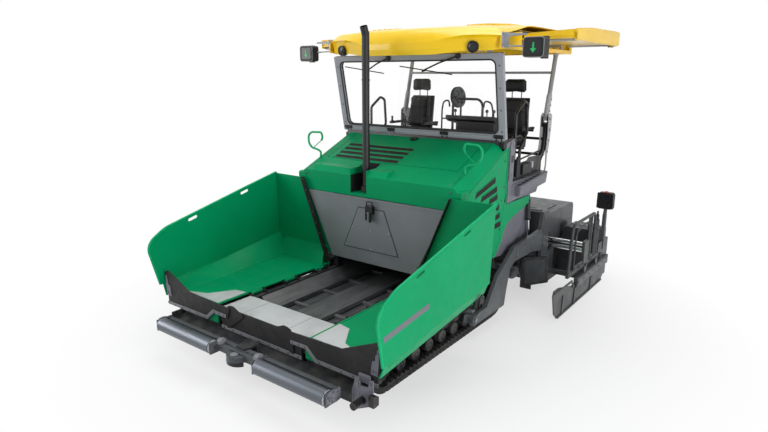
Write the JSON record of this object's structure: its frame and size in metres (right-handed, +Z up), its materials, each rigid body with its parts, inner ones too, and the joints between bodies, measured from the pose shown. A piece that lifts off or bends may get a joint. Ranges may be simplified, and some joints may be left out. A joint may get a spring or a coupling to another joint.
{
  "type": "asphalt paver",
  "caption": "Tracked asphalt paver with folding hopper wings, slat conveyor, engine hood, operator platform under a folding roof, augers and an extending screed.",
  "frame": {"origin": "centre of the bounding box's footprint on the ground", "axes": "+X to the machine's left, -Y to its front with the push rollers, +Z up"},
  "size_m": [3.864, 5.92, 3.668],
  "materials": {
    "green_paint": "gloss",
    "grey_paint": "satin",
    "light_grey_paint": "satin",
    "dark_grey_paint": "satin",
    "yellow_paint": "gloss",
    "black_paint": "satin",
    "silver_paint": "satin",
    "worn_steel": "worn",
    "chrome_rod": "polished",
    "cast_iron": "rough",
    "black_rubber": "matt",
    "track_rubber": "matt",
    "black_plastic": "matt",
    "seat_cover": "matt",
    "clear_glass": "clear"
  },
  "bodies": {
    "chassis": {"main_frame": "green_paint", "track_left": "track_rubber", "track_right": "track_rubber", "running_gear": "dark_grey_paint", "engine_block": "cast_iron", "rear_tank": "light_grey_paint", "conveyor_bed": "worn_steel", "conveyor_flights": "worn_steel", "hopper_wall": "grey_paint", "hopper_sill": "worn_steel", "front_apron": "black_rubber", "apron_strip": "grey_paint", "front_beam": "black_paint", "body_shell": "green_paint", "exhaust_stack": "black_paint", "platform_deck": "light_grey_paint", "side_steps": "light_grey_paint", "guard_rails": "black_paint", "auger_bearer": "dark_grey_paint"},
    "push_bar": {"push_bar": "black_paint"},
    "roller_left": {"push_roller_left": "worn_steel"},
    "roller_right": {"push_roller_right": "worn_steel"},
    "wing_left": {"hopper_wing_left": "green_paint", "wing_apron_left": "black_rubber"},
    "wing_right": {"hopper_wing_right": "green_paint", "wing_apron_right": "black_rubber"},
    "wing_barrel_left": {"wing_barrel_left": "black_paint"},
    "wing_barrel_right": {"wing_barrel_right": "black_paint"},
    "wing_rod_left": {"wing_rod_left": "chrome_rod"},
    "wing_rod_right": {"wing_rod_right": "chrome_rod"},
    "hood_lid": {"hood_lid": "green_paint"},
    "door_left": {"side_door_left": "green_paint"},
    "door_right": {"side_door_right": "green_paint"},
    "windshield": {"windshield_frame": "black_paint", "windshield_glass": "clear_glass"},
    "roof": {"roof": "yellow_paint", "signal_boxes": "black_plastic"},
    "rear_posts": {"rear_posts": "silver_paint"},
    "awning_left": {"awning_left": "yellow_paint"},
    "awning_right": {"awning_right": "yellow_paint"},
    "seat_left": {"seat_left": "black_plastic", "seat_cushions_left": "seat_cover"},
    "seat_right": {"seat_right": "black_plastic", "seat_cushions_right": "seat_cover"},
    "console": {"console": "black_plastic"},
    "tow_points": {"tow_points": "dark_grey_paint"},
    "screed": {"tow_arms": "dark_grey_paint", "screed_body": "dark_grey_paint", "screed_hood": "dark_grey_paint"},
    "extension_left": {"screed_extension_left": "dark_grey_paint"},
    "extension_right": {"screed_extension_right": "dark_grey_paint"},
    "gate_left": {"end_gate_left": "dark_grey_paint"},
    "gate_right": {"end_gate_right": "dark_grey_paint"},
    "auger_left": {"auger_left": "worn_steel"},
    "auger_right": {"auger_right": "worn_steel"},
    "lift_barrel_left": {"lift_barrel_left": "dark_grey_paint"},
    "lift_barrel_right": {"lift_barrel_right": "dark_grey_paint"},
    "lift_rod_left": {"lift_rod_left": "chrome_rod"},
    "lift_rod_right": {"lift_rod_right": "chrome_rod"}
  },
  "joints": [
    {"name": "push_bar_swing", "type": "hinge", "parent": "chassis", "child": "push_bar", "pos_m": [0, -2.775, 0.381], "axis": [0, 0, 1], "range_deg": [-3, 3]},
    {"name": "push_roller_left_spin", "type": "hinge", "parent": "push_bar", "child": "roller_left", "pos_m": [0.783, -2.885, 0.381], "axis": [1, 0, 0], "continuous": true},
    {"name": "hopper_wing_left_fold", "type": "hinge", "parent": "chassis", "child": "wing_left", "pos_m": [0.68, -1.49, 0.622], "axis": [0, -1, 0], "range_deg": [0, 55]},
    {"name": "wing_cylinder_left_tilt", "type": "hinge", "parent": "chassis", "child": "wing_barrel_left", "pos_m": [0.7, -2.38, 0.33], "axis": [0, -1, 0], "range_deg": [0, 45]},
    {"name": "wing_cylinder_left_stroke", "type": "slide", "parent": "wing_barrel_left", "child": "wing_rod_left", "axis": [0.9394, 0, 0.3429], "range_m": [0, 0.23]},
    {"name": "push_roller_right_spin", "type": "hinge", "parent": "push_bar", "child": "roller_right", "pos_m": [-0.783, -2.885, 0.381], "axis": [1, 0, 0], "continuous": true},
    {"name": "hopper_wing_right_fold", "type": "hinge", "parent": "chassis", "child": "wing_right", "pos_m": [-0.68, -1.49, 0.622], "axis": [0, 1, 0], "range_deg": [0, 55]},
    {"name": "wing_cylinder_right_tilt", "type": "hinge", "parent": "chassis", "child": "wing_barrel_right", "pos_m": [-0.7, -2.38, 0.33], "axis": [0, 1, 0], "range_deg": [0, 45]},
    {"name": "wing_cylinder_right_stroke", "type": "slide", "parent": "wing_barrel_right", "child": "wing_rod_right", "axis": [-0.9394, 0, 0.3429], "range_m": [0, 0.23]},
    {"name": "hood_lid_open", "type": "hinge", "parent": "chassis", "child": "hood_lid", "pos_m": [0, -0.372, 1.9796], "axis": [1, 0, 0], "range_deg": [0, 65]},
    {"name": "side_door_left_open", "type": "hinge", "parent": "chassis", "child": "door_left", "pos_m": [1.233, 0.384, 1.91], "axis": [0, 0, 1], "range_deg": [0, 90]},
    {"name": "side_door_right_open", "type": "hinge", "parent": "chassis", "child": "door_right", "pos_m": [-1.233, 0.384, 1.91], "axis": [0, 0, -1], "range_deg": [0, 90]},
    {"name": "windshield_fold", "type": "hinge", "parent": "chassis", "child": "windshield", "pos_m": [0, 0.284, 2.29], "axis": [-1, 0, 0], "range_deg": [0, 30]},
    {"name": "roof_on_windshield", "type": "hinge", "parent": "windshield", "child": "roof", "pos_m": [0, 0.0735, 3.334], "axis": [1, 0, 0], "range_deg": [0, 22]},
    {"name": "rear_posts_fold", "type": "hinge", "parent": "chassis", "child": "rear_posts", "pos_m": [0, 1.677, 2.478], "axis": [-1, 0, 0], "range_deg": [0, 40]},
    {"name": "awning_left_slide", "type": "slide", "parent": "roof", "child": "awning_left", "axis": [-1, 0, 0], "range_m": [0, 0.6]},
    {"name": "awning_right_slide", "type": "slide", "parent": "roof", "child": "awning_right", "axis": [1, 0, 0], "range_m": [0, 0.6]},
    {"name": "seat_left_swivel", "type": "hinge", "parent": "chassis", "child": "seat_left", "pos_m": [0.78, 1.28, 1.995], "axis": [0, 0, 1], "range_deg": [-10, 80]},
    {"name": "seat_right_swivel", "type": "hinge", "parent": "chassis", "child": "seat_right", "pos_m": [-0.78, 1.28, 1.995], "axis": [0, 0, -1], "range_deg": [-10, 80]},
    {"name": "console_slide", "type": "slide", "parent": "chassis", "child": "console", "axis": [-1, 0, 0], "range_m": [0, 1.21]},
    {"name": "tow_points_height", "type": "slide", "parent": "chassis", "child": "tow_points", "axis": [0, 0, 1], "range_m": [0, 0.1]},
    {"name": "screed_lift", "type": "hinge", "parent": "tow_points", "child": "screed", "pos_m": [0, -0.424, 0.246], "axis": [1, 0, 0], "range_deg": [0, 7]},
    {"name": "screed_extension_left_slide", "type": "slide", "parent": "screed", "child": "extension_left", "axis": [1, 0, 0], "range_m": [-0.48, 0.63]},
    {"name": "end_gate_left_height", "type": "slide", "parent": "extension_left", "child": "gate_left", "axis": [0, 0, 1], "range_m": [0, 0.1]},
    {"name": "auger_left_spin", "type": "hinge", "parent": "chassis", "child": "auger_left", "pos_m": [0.6, 1.568, 0.3], "axis": [1, 0, 0], "continuous": true},
    {"name": "lift_cylinder_left_tilt", "type": "hinge", "parent": "chassis", "child": "lift_barrel_left", "pos_m": [1.2, 1.214, 1.44], "axis": [-1, 0, 0], "range_deg": [0, 9]},
    {"name": "lift_cylinder_left_stroke", "type": "slide", "parent": "lift_barrel_left", "child": "lift_rod_left", "axis": [0, -0.1467, 0.9892], "range_m": [0, 0.216]},
    {"name": "screed_extension_right_slide", "type": "slide", "parent": "screed", "child": "extension_right", "axis": [-1, 0, 0], "range_m": [-0.48, 0.63]},
    {"name": "end_gate_right_height", "type": "slide", "parent": "extension_right", "child": "gate_right", "axis": [0, 0, 1], "range_m": [0, 0.1]},
    {"name": "auger_right_spin", "type": "hinge", "parent": "chassis", "child": "auger_right", "pos_m": [-0.6, 1.568, 0.3], "axis": [1, 0, 0], "continuous": true},
    {"name": "lift_cylinder_right_tilt", "type": "hinge", "parent": "chassis", "child": "lift_barrel_right", "pos_m": [-1.2, 1.214, 1.44], "axis": [-1, 0, 0], "range_deg": [0, 9]},
    {"name": "lift_cylinder_right_stroke", "type": "slide", "parent": "lift_barrel_right", "child": "lift_rod_right", "axis": [0, -0.1467, 0.9892], "range_m": [0, 0.216]}
  ],
  "couplings": [
    {"joint": "wing_cylinder_left_tilt", "follows": "hopper_wing_left_fold", "ratio": 0.7909},
    {"joint": "wing_cylinder_left_stroke", "follows": "hopper_wing_left_fold", "m_per_rad": 0.2361},
    {"joint": "wing_cylinder_right_tilt", "follows": "hopper_wing_right_fold", "ratio": 0.7909},
    {"joint": "wing_cylinder_right_stroke", "follows": "hopper_wing_right_fold", "m_per_rad": 0.2361},
    {"joint": "roof_on_windshield", "follows": "windshield_fold", "ratio": 0.6906},
    {"joint": "rear_posts_fold", "follows": "windshield_fold", "ratio": 1.2802},
    {"joint": "lift_cylinder_left_tilt", "follows": "screed_lift", "ratio": 1.0858},
    {"joint": "lift_cylinder_left_stroke", "follows": "screed_lift", "m_per_rad": 1.7451},
    {"joint": "lift_cylinder_right_tilt", "follows": "screed_lift", "ratio": 1.0858},
    {"joint": "lift_cylinder_right_stroke", "follows": "screed_lift", "m_per_rad": 1.7451}
  ]
}
